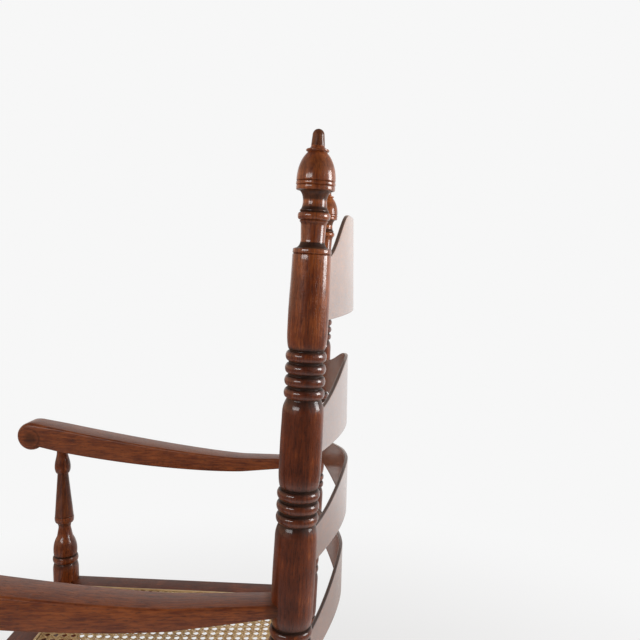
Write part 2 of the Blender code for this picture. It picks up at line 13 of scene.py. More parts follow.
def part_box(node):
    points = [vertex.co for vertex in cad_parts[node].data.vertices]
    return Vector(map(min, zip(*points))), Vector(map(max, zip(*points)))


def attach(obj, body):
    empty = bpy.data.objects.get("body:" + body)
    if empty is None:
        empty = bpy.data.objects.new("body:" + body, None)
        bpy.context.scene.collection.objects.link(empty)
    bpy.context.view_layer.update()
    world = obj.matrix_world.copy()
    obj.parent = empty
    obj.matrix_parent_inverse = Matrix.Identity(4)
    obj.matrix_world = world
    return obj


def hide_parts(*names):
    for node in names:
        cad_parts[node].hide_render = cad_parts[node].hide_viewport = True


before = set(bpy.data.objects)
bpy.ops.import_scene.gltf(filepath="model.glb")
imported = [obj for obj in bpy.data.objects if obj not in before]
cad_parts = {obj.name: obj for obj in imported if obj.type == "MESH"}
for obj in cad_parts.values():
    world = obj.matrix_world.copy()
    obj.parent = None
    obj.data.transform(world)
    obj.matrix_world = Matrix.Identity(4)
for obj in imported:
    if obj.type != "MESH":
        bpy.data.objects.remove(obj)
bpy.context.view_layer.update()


# Rear posts
# Two tall posts, each turned from one length of hardwood, stained a reddish brown and varnished. They lean
# back, end in acorn finials and have groups of rings between the plain lengths that hold the slats.

REAR_POST_LENGTH = 1.1083
BACK_RAKE = math.radians(3.3)
SEAT_HEIGHT = 0.440
REAR_STRETCHER_HEIGHT = 0.200
FOOT_SPARE = 0.004
SIDES = {"left": 1, "right": -1}

# A cut of the gouge: its shape, its length, the radius at its end or a nick's depth, and a bead's crown
NICK = ("nick", 0.0012, 0.0009)
FINIAL_TIP = [
    ("dome", 0.0056, 0.0055),
    ("line", 0.0093, 0.0063),
]
ACORN = [
    ("flare", 0.0034, 0.0096),
    ("bead", 0.0024, 0.0094, 0.0108),
    ("line", 0.0004, 0.0088),
    ("oval", 0.0258, 0.0180),
    NICK,
    ("bead", 0.0025, 0.0180, 0.0182),
    NICK,
    ("line", 0.0030, 0.0178),
    ("flare", 0.0008, 0.0160),
]
ACORN_COVE = [("hollow", 0.0096, 0.0110)]
FINIAL_NECK = [
    ("flare", 0.0079, 0.0132),
    ("line", 0.0012, 0.0134),
    NICK,
    ("bead", 0.0066, 0.0132, 0.0152),
    NICK,
    ("line", 0.0010, 0.0127),
    ("hollow", 0.0032, 0.0117),
    ("line", 0.0128, 0.0111),
    ("flare", 0.0076, 0.0156),
    ("line", 0.0009, 0.0178),
    ("line", 0.0036, 0.0180),
    ("nick", 0.0014, 0.0012),
]
# Plain lengths between the rings: cuts, then the count, crown and groove of the rings below
PLAIN_LENGTHS = [
    (
        [
            ("swell", 0.0580, 0.0190),
            ("swell", 0.0130, 0.0189),
            ("flare", 0.0172, 0.0161),
        ],
        (4, 0.0192, 0.0161),
    ),
    (
        [
            ("dome", 0.0130, 0.0197),
            ("swell", 0.0270, 0.0201),
            ("swell", 0.0290, 0.0200),
            ("flare", 0.0160, 0.0172),
        ],
        (3, 0.0204, 0.0172),
    ),
    (
        [
            ("dome", 0.0130, 0.0203),
            ("swell", 0.0360, 0.0207),
            ("swell", 0.0360, 0.0204),
            ("flare", 0.0160, 0.0176),
        ],
        (2, 0.0208, 0.0176),
    ),
]
RING_PITCH = 0.0116
RING_GROOVE = 0.0020
LAST_LENGTH_RADIUS = 0.0207
BLOCK_RADIUS = 0.0210
BLOCK_ABOVE_SEAT = 0.030
BLOCK_BELOW_SEAT = 0.046
BLOCK_GROOVE = 0.0182
BLOCK_SHOULDER = 0.012
REAR_LEG_RADIUS = 0.0205
REAR_FOOT_RADIUS = 0.0165
ARC_STEPS = 8
BEAD_STEPS = 12
OVAL_STEPS = 18
LATHE_STEPS = 72
EASE = 0.0004
SHARP = math.radians(30)
SMOOTH = math.radians(38)
WELD = 0.00001

# Reaches and depths that make a hollow or a plain length, then the shade of the finial's darker tip and the
# painted shadow in the cove under its acorn. A hollow is dark wax with painted shade in a groove, painted
# shade on an upward slope.
HOLLOW_REACH = 0.0055
HOLLOW_DEPTH = 0.0022
HOLLOW_POWER = 0.7
BELOW_SHARE = 0.80
DOME_REACH = 0.015
DOME_RISE = 0.0030
PLAIN_REACH = 0.006
PLAIN_CHANGE = 0.0020
TIP_SHADE = 0.62
COVE_SHADE = 0.74


def cut_points(cut, radius, depth):
    """Points of one cut of the gouge as (radius, depth), after its first."""
    shape, length, end = cut[:3]
    if shape == "line":
        return [(end, depth + length)]
    if shape == "nick":
        return [(radius - end, depth + length / 2), (radius, depth + length)]
    points = []
    change = end - radius
    steps = {"bead": BEAD_STEPS, "oval": OVAL_STEPS}.get(shape, ARC_STEPS)
    for step in range(1, steps + 1):
        share = step / steps
        quarter = math.pi / 2 * share
        if shape in ("dome", "oval"):
            first = math.asin(radius / end)
            angle = first + (math.pi / 2 - first) * share
            out = end * math.sin(angle)
            down = 1 - math.cos(angle) / math.cos(first)
        elif shape == "bead":
            crown = cut[3]
            out = radius + change * share + (crown - max(radius, end)) * math.sin(2 * quarter)
            down = (1 - math.cos(2 * quarter)) / 2
        elif shape == "hollow":
            out = radius + change * math.sin(quarter)
            down = 1 - math.cos(quarter)
        elif shape == "swell":
            out = radius + change * math.sin(quarter) ** 2
            down = share
        else:
            out = radius + change * (1 - math.cos(quarter))
            down = math.sin(quarter)
        points.append((out, depth + length * down))
    return points


def length_of(cuts):
    return sum(cut[1] for cut in cuts)


def rings(count, crown, groove):
    """Cuts of a group of equal rings."""
    half_groove = ("line", RING_GROOVE / 2, groove)
    return [half_groove, ("bead", RING_PITCH - RING_GROOVE, groove, crown), half_groove] * count


def turn(cuts, start=0.0):
    """The outline that a row of cuts leaves, with its sharp corners eased as sandpaper does."""
    outline = [Vector((start, 0.0))]
    for cut in cuts:
        outline += [Vector(point) for point in cut_points(cut, *outline[-1])]
    eased = outline[:1]
    for before, corner, after in zip(outline, outline[1:], outline[2:]):
        back = before - corner
        ahead = after - corner
        if back.angle(-ahead, 0.0) < SHARP:
            eased.append(corner)
            continue
        near = corner + back.normalized() * min(EASE, back.length / 3)
        far = corner + ahead.normalized() * min(EASE, ahead.length / 3)
        eased += [near, (near + 2 * corner + far) / 4, far]
    return eased + outline[-1:]


def hollows(outline):
    """How far each point lies in a groove or on an upward slope, 0 to 1: painted shade, and dark wax in
    grooves.
    """
    shades = []
    for point in outline:
        above = max(other.x for other in outline if -HOLLOW_REACH <= other.y - point.y <= 0)
        below = max(other.x for other in outline if 0 <= other.y - point.y <= HOLLOW_REACH)
        beyond = max(other.x for other in outline if 0 <= other.y - point.y <= DOME_REACH)
        below -= (below - point.x) * min((beyond - below) / DOME_RISE, 1.0)
        depth = BELOW_SHARE * below + (1 - BELOW_SHARE) * above - point.x
        shades.append(min(depth / HOLLOW_DEPTH, 1.0) ** HOLLOW_POWER)
    return shades


def plainness(outline):
    """How plain the turning is round each point, from 0 to 1: hands have dulled plain lengths."""
    shades = []
    for point in outline:
        near = [other.x for other in outline if abs(other.y - point.y) <= PLAIN_REACH]
        shades.append(max(1 - (max(near) - min(near)) / PLAIN_CHANGE, 0.0))
    return shades


def select(piece):
    """Selects one piece and nothing else."""
    bpy.ops.object.select_all(action="DESELECT")
    bpy.context.view_layer.objects.active = piece
    piece.select_set(True)


def name_piece(piece, name):
    """Gives a piece and its mesh their name."""
    piece.name = name
    piece.data.name = name
    return piece


def leave_edit_mode():
    """Turns all faces of the piece outwards and goes back to object mode."""
    bpy.ops.mesh.select_all(action="SELECT")
    bpy.ops.mesh.normals_make_consistent(inside=False)
    bpy.ops.object.mode_set(mode="OBJECT")


def mark(piece, name, shades):
    """Stores a shade for each vertex of a piece, for its material to read."""
    marks = piece.data.attributes.new(name, "FLOAT", "POINT")
    for vertex_mark, shade in zip(marks.data, shades):
        vertex_mark.value = shade


def lathe(name, outline):
    """Spins an outline about Z, with its top at the origin, and marks its hollows and plain lengths."""
    bpy.ops.object.select_all(action="DESELECT")
    bpy.ops.mesh.primitive_plane_add(size=BLOCK_RADIUS)
    piece = name_piece(bpy.context.object, name)
    chain = [Vector((0.0, outline[0].y)), *outline, Vector((0.0, outline[-1].y))]
    bpy.ops.object.mode_set(mode="EDIT")
    bpy.ops.mesh.merge(type="CENTER")
    for here, there in zip(chain, chain[1:]):
        if (there - here).length > WELD:
            step = (there.x - here.x, 0.0, here.y - there.y)
            bpy.ops.mesh.extrude_vertices_move(TRANSFORM_OT_translate={"value": step})
    bpy.ops.mesh.select_all(action="SELECT")
    bpy.ops.mesh.spin(steps=LATHE_STEPS, angle=2 * math.pi, center=(0, 0, 0), axis=(0, 0, 1))
    bpy.ops.mesh.select_all(action="SELECT")
    bpy.ops.mesh.remove_doubles(threshold=WELD)
    leave_edit_mode()
    bpy.ops.object.shade_smooth_by_angle(angle=SMOOTH)
    tree = kdtree.KDTree(len(outline))
    for index, point in enumerate(outline):
        tree.insert((point.x, -point.y, 0.0), index)
    tree.balance()
    nearest = [tree.find((vertex.co.xy.length, vertex.co.z, 0.0))[1] for vertex in piece.data.vertices]
    for label, shades in (("hollow", hollows(outline)), ("plain", plainness(outline))):
        mark(piece, label, [shades[index] for index in nearest])
    return piece


def set_at(piece, place):
    """Moves a piece to its place and leaves its object at the origin."""
    select(piece)
    piece.matrix_world = place
    bpy.ops.object.transform_apply(location=True, rotation=True, scale=True)


def copy_of(piece, name):
    """A copy of a piece, with a mesh of its own."""
    select(piece)
    bpy.ops.object.duplicate(linked=False)
    return name_piece(bpy.context.object, name)


def fit(piece, node, material):
    """Gives a piece its finish, hides the CAD node that it stands for, and attaches the piece to the root."""
    piece.data.materials.clear()
    piece.data.materials.append(material)
    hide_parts(node)
    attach(piece, "root")


class Wire:
    """A socket of a node tree, so that shader maths reads as arithmetic."""

    def __init__(self, tree, socket=None):
        self.tree = tree
        self.socket = socket

    def node(self, kind, settings, sockets, output=0):
        """Adds a node, sets its settings, then its sockets by values or wires, and returns one output."""
        made = self.tree.nodes.new("ShaderNode" + kind)
        for name, value in settings.items():
            if name == "stops":
                for index, (position, colour) in enumerate(value):
                    elements = made.color_ramp.elements
                    stop = elements[index] if index < len(elements) else elements.new(position)
                    stop.position = position
                    stop.color = (*colour, 1.0)
            else:
                setattr(made, name, value)
        for name, value in sockets.items():
            if isinstance(value, Wire):
                value.into(made, name)
            else:
                made.inputs[name].default_value = value
        return Wire(self.tree, made.outputs[output])

    def into(self, node, name):
        """Links this socket into one of a node's inputs."""
        self.tree.links.new(self.socket, node.inputs[name])

    def maths(self, operation, *values):
        return self.node("Math", {"operation": operation}, dict(enumerate(values)))

    def __add__(self, other):
        return self.maths("ADD", self, other)

    def __sub__(self, other):
        return self.maths("SUBTRACT", self, other)

    def __rsub__(self, other):
        return self.maths("SUBTRACT", other, self)

    def __mul__(self, other):
        return self.maths("MULTIPLY", self, other)

    __radd__ = __add__
    __rmul__ = __mul__

    def between(self, low, high):
        """0 below low, 1 above high, smooth between them."""
        settings = {"interpolation_type": "SMOOTHSTEP"}
        return self.node("MapRange", settings, {"Value": self, "From Min": low, "From Max": high})

    def mixed(self, first, second):
        """Two colours, mixed by this value."""
        return self.node("Mix", {"data_type": "RGBA"}, {0: self, 6: first, 7: second}, 2)

    def part(self, axis):
        """This vector's X, Y or Z."""
        return self.node("SeparateXYZ", {}, {0: self}, axis)

    def noise(self, scale, detail, roughness=0.5, distortion=0.0):
        """Noise at this place."""
        sockets = {
            "Vector": self,
            "Scale": scale,
            "Detail": detail,
            "Roughness": roughness,
            "Distortion": distortion,
        }
        return self.node("TexNoise", {}, sockets)


def shader_of(name):
    """A new material with its Principled shader, and a wire to build on."""
    material = bpy.data.materials.new(name)
    material.use_nodes = True
    tree = material.node_tree
    return material, tree.nodes["Principled BSDF"], Wire(tree)


STAIN = (
    (0.05, (0.055, 0.0095, 0.0026)),
    (0.45, (0.140, 0.0280, 0.0065)),
    (0.80, (0.300, 0.0760, 0.0160)),
    (1.00, (0.440, 0.1250, 0.0290)),
)
# Dark wax in the pores, and dark wax with painted shade in the hollows
WAX_AND_SHADE = (0.012, 0.0065, 0.0040, 1.0)
SHEEN = 0.14
SHEEN_ROUGHNESS = 0.35
SHEEN_TINT = (1.0, 0.50, 0.26, 1.0)
GRAIN_STRETCH = 11.0
PORE_STRETCH = 9.0
RIPPLE_STRETCH = 0.09
# Shares of the stain's tone, which is palest at the top of the back: partly painted light, partly the wood's
# own tone
FIGURE_TONE = 0.22
MOTTLE_TONE = 0.40
STREAK_TONE = 0.34
UPPER_LIGHT_AND_TONE = 0.14
BASE_TONE = 0.270
TONE_RANGE = (0.26, 0.74)
PALING_START = 0.84
PALING_END = 1.08
# Shares of dark wax and of lost gloss in the pores, of dark wax with painted shade and of lost gloss in
# hollows, and of lost gloss where hands have been
PORE_RANGE = (0.54, 0.66)
PORE_WAX = 0.45
PORE_DULLING = 0.40
HOLLOW_RANGE = (0.05, 0.95)
HOLLOW_WAX_AND_SHADE = 0.88
HOLLOW_DULLING = 0.75
HAND_DULLING = 0.60
STREAK_ROUGHNESS = 0.16
HOLLOW_ROUGHNESS = 0.35
# Shares of the relief
STREAK_RELIEF = 0.55
PEEL_RELIEF = 0.45
PLAIN_PEEL_RELIEF = 0.9
RIPPLE_RELIEF = 0.9
PORE_RELIEF = 0.7
RELIEF_STRENGTH = 0.42
RELIEF_DEPTH = 0.0005
# A darker patch round a grip, and part of a ring of painted shadow round it
GRIP_INNER = 0.004
GRIP_OUTER = 0.0190
GRIP_SHADE = 0.60
SHADOW_RING = 0.0150
SHADOW_RING_WIDTH = 0.0045
SHADOW_RING_SHADE = 0.55


def varnished_wood(
    name,
    grain,
    lean=(0.0, 0.0, 0.0),
    shift=(0.0, 0.0, 0.0),
    stain=STAIN,
    pale=0.0,
    clouding=0.8,
    shine=0.14,
    wear=0.26,
    varnish=0.90,
    haze=0.13,
    index=1.52,
    grip=None,
):
    """Stained and varnished hardwood, its grain along one axis, 0 to 2, turned by lean and moved by shift.

    Pale lightens the stain and clouding deepens its patches. Shine and wear are the wood's own gloss and
    roughness. Varnish is the weight of the coat over it, haze the coat's roughness and index its refraction.
    The wood is darker round the point grip, if there is one, with part of a ring of painted shadow round it.
    """
    material, shader, wire = shader_of(name)
    place = wire.node("TexCoord", {}, {}, "Object")

    def along_grain(stretch):
        scale = [1.0, 1.0, 1.0]
        scale[grain] = stretch
        sockets = {"Vector": place, "Location": shift, "Rotation": lean, "Scale": scale}
        return wire.node("Mapping", {"vector_type": "TEXTURE"}, sockets)

    fibres = along_grain(GRAIN_STRETCH)
    figure = fibres.noise(scale=85.0, detail=3.0, roughness=0.55, distortion=0.8)
    streaks = fibres.noise(scale=430.0, detail=3.0, roughness=0.6)
    pores = along_grain(PORE_STRETCH).noise(scale=1300.0, detail=2.0).between(*PORE_RANGE)
    mottle = place.noise(scale=38.0, detail=3.0, roughness=0.55)
    peel = place.noise(scale=520.0, detail=2.0)
    hollow = wire.node("Attribute", {"attribute_name": "hollow"}, {}, "Fac")
    plain = wire.node("Attribute", {"attribute_name": "plain"}, {}, "Fac")
    if grip is not None:
        offset = wire.node("VectorMath", {"operation": "SUBTRACT"}, {0: place, 1: grip})
        offset = wire.node("VectorMath", {"operation": "MULTIPLY"}, {0: offset, 1: (0.0, 1.0, 1.0)})
        distance = wire.node("VectorMath", {"operation": "LENGTH"}, {0: offset}, "Value")
        smudge = (1 - distance.between(GRIP_INNER, GRIP_OUTER)) * GRIP_SHADE
        # Part of a ring of painted shadow round the grip
        ring = distance.between(SHADOW_RING - SHADOW_RING_WIDTH, SHADOW_RING)
        ring = ring * (1 - distance.between(SHADOW_RING, SHADOW_RING + SHADOW_RING_WIDTH))
        ring = ring * offset.part("Y").between(0.0, SHADOW_RING / 2) * SHADOW_RING_SHADE
        hollow = wire.maths("MAXIMUM", hollow, wire.maths("MAXIMUM", smudge, ring))
    # Partly painted light, partly the wood's own tone: the stain is paler towards the top of the back
    upper_light_and_tone = place.part("Z").between(PALING_START, PALING_END)
    clouds = figure * FIGURE_TONE + mottle * MOTTLE_TONE - (FIGURE_TONE + MOTTLE_TONE) / 2
    tone = clouds * clouding + streaks * STREAK_TONE + upper_light_and_tone * UPPER_LIGHT_AND_TONE + (pale + BASE_TONE)
    wood = wire.node("ValToRGB", {"stops": stain}, {"Fac": tone.between(*TONE_RANGE)})
    wood = (pores * PORE_WAX).mixed(wood, WAX_AND_SHADE)
    # The hollow mark brings dark wax and painted shade
    wood = (hollow.between(*HOLLOW_RANGE) * HOLLOW_WAX_AND_SHADE).mixed(wood, WAX_AND_SHADE)
    wood.into(shader, "Base Color")
    rough = wear + streaks * STREAK_ROUGHNESS + hollow * HOLLOW_ROUGHNESS
    rough.into(shader, "Roughness")
    handled = plain * (1 - upper_light_and_tone) * HAND_DULLING
    coat = varnish * (1 - hollow * HOLLOW_DULLING) * (1 - handled) * (1 - pores * PORE_DULLING)
    coat.into(shader, "Coat Weight")
    shader.inputs["Coat Roughness"].default_value = haze
    shader.inputs["Coat IOR"].default_value = index
    shader.inputs["Specular IOR Level"].default_value = shine
    shader.inputs["Sheen Weight"].default_value = SHEEN
    shader.inputs["Sheen Roughness"].default_value = SHEEN_ROUGHNESS
    shader.inputs["Sheen Tint"].default_value = SHEEN_TINT
    ripple = along_grain(RIPPLE_STRETCH).noise(scale=100.0, detail=2.0) * plain
    relief = streaks * STREAK_RELIEF + peel * (PEEL_RELIEF + plain * PLAIN_PEEL_RELIEF)
    relief = relief + ripple * RIPPLE_RELIEF - pores * PORE_RELIEF
    sockets = {"Strength": RELIEF_STRENGTH, "Distance": RELIEF_DEPTH, "Height": relief}
    wire.node("Bump", {}, sockets).into(shader, "Normal")
    return material


def middle(node):
    """The middle of a CAD node's box."""
    low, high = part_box(node)
    return (low + high) / 2


rear_foot = middle("rear_stretcher") - Vector((0.0, REAR_STRETCHER_HEIGHT * math.tan(BACK_RAKE), 0.0))
post_low, post_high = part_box("left_rear_post")
rear_half_spacing = (post_low.x + post_high.x) / 2
back = Matrix.Translation((0.0, rear_foot.y, 0.0)) @ Matrix.Rotation(-BACK_RAKE, 4, "X")
block_top = SEAT_HEIGHT + BLOCK_ABOVE_SEAT
block_length = BLOCK_ABOVE_SEAT + BLOCK_BELOW_SEAT
block_cuts = [
    ("bead", RING_PITCH, BLOCK_GROOVE, BLOCK_RADIUS),
    ("dome", BLOCK_SHOULDER, BLOCK_RADIUS),
    ("line", block_length - 2 * BLOCK_SHOULDER, BLOCK_RADIUS),
    ("flare", BLOCK_SHOULDER, BLOCK_GROOVE),
    ("bead", RING_PITCH, BLOCK_GROOVE, BLOCK_RADIUS),
]
rear_cuts = [*FINIAL_TIP, *ACORN, *ACORN_COVE, *FINIAL_NECK]
shaft_starts = []
for plain_cuts, ring_group in PLAIN_LENGTHS:
    shaft_starts.append(length_of(rear_cuts))
    rear_cuts += plain_cuts + rings(*ring_group)
shaft_starts.append(length_of(rear_cuts))
last_length = REAR_POST_LENGTH - block_top / math.cos(BACK_RAKE) - RING_PITCH - length_of(rear_cuts)
rear_cuts += [
    ("dome", BLOCK_SHOULDER, LAST_LENGTH_RADIUS),
    ("line", last_length - 2 * BLOCK_SHOULDER, LAST_LENGTH_RADIUS),
    ("flare", BLOCK_SHOULDER, BLOCK_GROOVE),
    *block_cuts,
    ("dome", BLOCK_SHOULDER, REAR_LEG_RADIUS),
]
rear_cuts.append(("line", REAR_POST_LENGTH + FOOT_SPARE - length_of(rear_cuts), REAR_FOOT_RADIUS))

rear_wood = varnished_wood("rear_post_wood", 2, (-BACK_RAKE, 0.0, 0.0))
rear_blank = lathe("left_rear_turning", turn(rear_cuts))
tip_end = length_of(FINIAL_TIP)
cove_start = length_of(FINIAL_TIP + ACORN)
cove_end = length_of(FINIAL_TIP + ACORN + ACORN_COVE)
# The finial's tip is darker, and the cove under its acorn gets painted shadow from the acorn's rim
for vertex, hollow_mark in zip(rear_blank.data.vertices, rear_blank.data.attributes["hollow"].data):
    depth = -vertex.co.z
    if depth < tip_end:
        hollow_mark.value = max(hollow_mark.value, TIP_SHADE)
    if cove_start < depth < cove_end:
        hollow_mark.value = max(hollow_mark.value, COVE_SHADE)
rear_turnings = {"left": rear_blank, "right": copy_of(rear_blank, "right_rear_turning")}
for label, side in SIDES.items():
    post = rear_turnings[label]
    set_at(post, back @ Matrix.Translation((side * rear_half_spacing, 0.0, REAR_POST_LENGTH)))
    bpy.ops.object.mode_set(mode="EDIT")
    bpy.ops.mesh.select_all(action="SELECT")
    bpy.ops.mesh.bisect(plane_co=(0, 0, 0), plane_no=(0, 0, 1), use_fill=True, clear_inner=True)
    bpy.ops.object.mode_set(mode="OBJECT")
    fit(post, label + "_rear_post", rear_wood)


# Slats
# Four boards, sawn to a shaped crest, steamed and bowed backwards, and let into mortises in the rear posts.
# Their arrises are rounded over, with painted shade on them and near the posts, and they are stained and
# varnished, with the grain running across.

# Drop from the top of the post's plain length, height at the ends, rise of the crest, sag of the lower edge
SLATS = {
    "crest_slat": (0.0010, 0.064, 0.049, 0.001),
    "upper_slat": (0.0240, 0.043, 0.035, 0.0095),
    "middle_slat": (0.0240, 0.037, 0.022, 0.0110),
    "lower_slat": (0.0165, 0.033, 0.024, 0.0080),
}
# Bows of the upper and the lower edge
SLAT_BOWS = {
    "crest_slat": (0.0380, 0.0447),
    "upper_slat": (0.0413, 0.0453),
    "middle_slat": (0.0494, 0.0514),
    "lower_slat": (0.0494, 0.0514),
}
# Shares of the half width where a crest starts and stops falling
CREST_SHARES = {
    "crest_slat": (0.30, 0.76),
    "upper_slat": (0.00, 0.84),
    "middle_slat": (0.00, 0.80),
    "lower_slat": (0.00, 0.80),
}
SLAT_THICKNESS = 0.0044
SLAT_BEND = 1.5
SLAT_INSET = 0.008
SLAT_COLUMNS = 96
SLAT_ROWS = 10
SLAT_ROUND = 0.0011
ROUND_STEPS = 4
SLAT_STAIN = (
    (0.05, (0.055, 0.0118, 0.0028)),
    (0.45, (0.140, 0.0345, 0.0068)),
    (0.80, (0.300, 0.0920, 0.0170)),
    (1.00, (0.440, 0.1500, 0.0305)),
)
SLAT_GRAIN_STEP = 0.37
# Painted shade near the posts: its reach and strength
JOINT_SHADE_REACH = 0.0060
JOINT_SHADE = 0.5
# Painted shade on an arris shows where a normal's upright part passes the first value, in full past the
# second
ARRIS_RANGE = (0.2, 0.7)
ARRIS_SHADE = 0.75


def grid(name, columns, rows):
    """A flat sheet from 0 to 1 both ways, to be shaped by its points."""
    bpy.ops.object.select_all(action="DESELECT")
    bpy.ops.mesh.primitive_grid_add(
        x_subdivisions=columns, y_subdivisions=rows, size=1.0, location=(0.5, 0.5, 0)
    )
    piece = name_piece(bpy.context.object, name)
    bpy.ops.object.transform_apply(location=True, rotation=True, scale=True)
    return piece


def apply(piece, kind, **settings):
    """Adds a modifier with these settings and applies it."""
    select(piece)
    modifier = piece.modifiers.new(kind.lower(), kind)
    for name, value in settings.items():
        setattr(modifier, name, value)
    bpy.ops.object.modifier_apply(modifier=modifier.name)


def round_over(piece, width):
    """Rounds the arrises of a piece and smooths its shading."""
    apply(piece, "BEVEL", width=width, segments=ROUND_STEPS, limit_method="ANGLE", angle_limit=SMOOTH)
    bpy.ops.object.shade_smooth_by_angle(angle=SMOOTH)


def slat_point(name, x, up):
    """The middle of a slat at x, and a share of its height up, in the frame of the back."""
    drop, end_height, rise, sag = SLATS[name]
    upper_bow, lower_bow = SLAT_BOWS[name]
    flat, span = CREST_SHARES[name]
    across = abs(x) / rear_half_spacing
    swing = min(max((across - flat) / (span - flat), 0.0), 1.0)
    shaft_start = shaft_starts[list(SLATS).index(name)]
    end_top = REAR_POST_LENGTH - shaft_start - drop
    top = end_top + rise * (1 + math.cos(math.pi * swing)) / 2
    bottom = end_top - end_height - sag * (1 + math.cos(math.pi * across)) / 2
    bow = lower_bow + (upper_bow - lower_bow) * up
    return Vector((x, bow * (1 - across**SLAT_BEND), bottom + (top - bottom) * up))


slat_end = rear_half_spacing - SLAT_INSET
for number, node in enumerate(SLATS):
    slat = grid(node + "_board", SLAT_COLUMNS, SLAT_ROWS)
    for vertex in slat.data.vertices:
        vertex.co = slat_point(node, slat_end * (2 * vertex.co.x - 1), vertex.co.y)
    apply(slat, "SOLIDIFY", thickness=SLAT_THICKNESS, offset=0.0, use_even_offset=True)
    round_over(slat, SLAT_ROUND)
    # Painted shade near the posts and on the upper and lower arrises
    shades = []
    for vertex in slat.data.vertices:
        joint = 1 - (rear_half_spacing - LAST_LENGTH_RADIUS - abs(vertex.co.x)) / JOINT_SHADE_REACH
        arris = (abs(vertex.normal.z) - ARRIS_RANGE[0]) / (ARRIS_RANGE[1] - ARRIS_RANGE[0])
        shades.append(max(JOINT_SHADE * min(joint, 1.0), ARRIS_SHADE * min(arris, 1.0), 0.0))
    mark(slat, "hollow", shades)
    set_at(slat, back)
    slat_wood = varnished_wood(
        node + "_wood", 0, shift=(0.0, 0.0, SLAT_GRAIN_STEP * number), stain=SLAT_STAIN, pale=0.05,
        clouding=0.3, shine=1.0, varnish=1.0, haze=0.15, index=1.9,
    )
    fit(slat, node, slat_wood)


# Front posts
# Two turned posts in one length each: a neck let into the arm, a slim baluster, the block that takes the seat
# rails, and a leg with a turned foot. They are stained and varnished like the rear posts.

ARM_NECK_RADIUS = 0.0086
ARM_NECK_LENGTH = 0.0040
ARM_SOCKET_DEPTH = 0.021
SUPPORT_CUTS = [
    ("swell", 0.0278, 0.0130),
    ("flare", 0.0112, 0.0087),
    ("line", 0.0740, 0.0152),
    NICK,
    ("bead", 0.0105, 0.0134, 0.0166),
    ("hollow", 0.0090, 0.0100),
    ("line", 0.0155, 0.0130),
]
VASE_RADIUS = 0.0195
VASE_SHOULDER = 0.0090
FRONT_LEG_RADIUS = 0.0195
ANKLE_RADIUS = 0.0180
FRONT_FOOT = [
    ("bead", 0.0118, 0.0165, 0.0190),
    ("hollow", 0.0120, 0.0130),
    ("dome", 0.0300, 0.0195),
    ("flare", 0.0300, 0.0140),
]
FRONT_GRAIN_SHIFT = (0.11, 0.07, 0.0)

front_foot = {label: middle(label + "_front_post") for label in SIDES}
front_post_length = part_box("left_front_post")[1].z
front_cuts = [("line", ARM_SOCKET_DEPTH + ARM_NECK_LENGTH, ARM_NECK_RADIUS), *SUPPORT_CUTS]
vase_length = front_post_length - block_top - RING_PITCH - VASE_SHOULDER - length_of(front_cuts)
front_cuts += [
    ("dome", vase_length, VASE_RADIUS),
    ("flare", VASE_SHOULDER, BLOCK_GROOVE),
    *block_cuts,
    ("dome", BLOCK_SHOULDER, FRONT_LEG_RADIUS),
]
leg_length = front_post_length - length_of(front_cuts) - length_of(FRONT_FOOT)
front_cuts += [("line", leg_length, ANKLE_RADIUS), *FRONT_FOOT]

front_wood = varnished_wood(
    "front_post_wood", 2, shift=FRONT_GRAIN_SHIFT, pale=0.07, clouding=0.4, varnish=0.90, haze=0.17
)
front_blank = lathe("left_front_turning", turn(front_cuts, ARM_NECK_RADIUS))
front_turnings = {"left": front_blank, "right": copy_of(front_blank, "right_front_turning")}
for label, post in front_turnings.items():
    foot = front_foot[label]
    set_at(post, Matrix.Translation((foot.x, foot.y, front_post_length)))
    fit(post, label + "_front_post", front_wood)


# Arms
# Shaped from solid stock: a tenon in the rear post, a top that starts level, then rises and widens forwards,
# and a scroll over the front post. The arrises are rounded and worn, under the same stain and less varnish.

ARM_PLAIN_LENGTH = 2
ARM_DROP = 0.0811
ARM_REAR_WIDTH = 0.030
ARM_FRONT_WIDTH = 0.045
ARM_REAR_THICKNESS = 0.0111
ARM_FRONT_THICKNESS = 0.0391
ARM_SWELL_POWER = 1.61
ARM_RISE = 0.0522
ARM_RISE_START = 0.113
ARM_RISE_POWER = 1.315
ARM_OVERHANG = 0.069
SCROLL_RADIUS = 0.0232
SCROLL_DROP = 0.0239
SCROLL_NOTCH = math.radians(-130)
SCROLL_SHARE = 0.35
ARM_STATIONS = 120
ARM_ROUND = 0.0030
SCROLL_ROUND = 0.0070
ARM_ROUND_SHARE = 0.40
ARM_SHADE = 0.6
ARM_GRAIN_STEP = 0.2
NOTCH_SHADE_REACH = 0.0100
GRIP_DROP = 0.003

arm_depth = shaft_starts[ARM_PLAIN_LENGTH] + ARM_DROP
arm_height = (REAR_POST_LENGTH - arm_depth) * math.cos(BACK_RAKE)
arm_root = {
    label: Vector((side * rear_half_spacing, rear_foot.y + arm_height * math.tan(BACK_RAKE), arm_height))
    for label, side in SIDES.items()
}
arm_run = front_foot["left"].xy - arm_root["left"].xy
arm_span = arm_run.length
splay = math.atan2(arm_run.x, -arm_run.y)
scroll_corner = arm_span + ARM_OVERHANG - SCROLL_RADIUS


def arm_top(reach):
    """Height of the arm's top above the middle of its tenon, some way forwards."""
    lift = max(reach - ARM_RISE_START, 0.0) / (scroll_corner - ARM_RISE_START)
    return ARM_REAR_THICKNESS / 2 + ARM_RISE * lift**ARM_RISE_POWER


def arm_bottom(reach):
    ease = 1 - min(reach / arm_span, 1.0)
    thickness = ARM_FRONT_THICKNESS - (ARM_FRONT_THICKNESS - ARM_REAR_THICKNESS) * ease**ARM_SWELL_POWER
    return arm_top(reach) - thickness


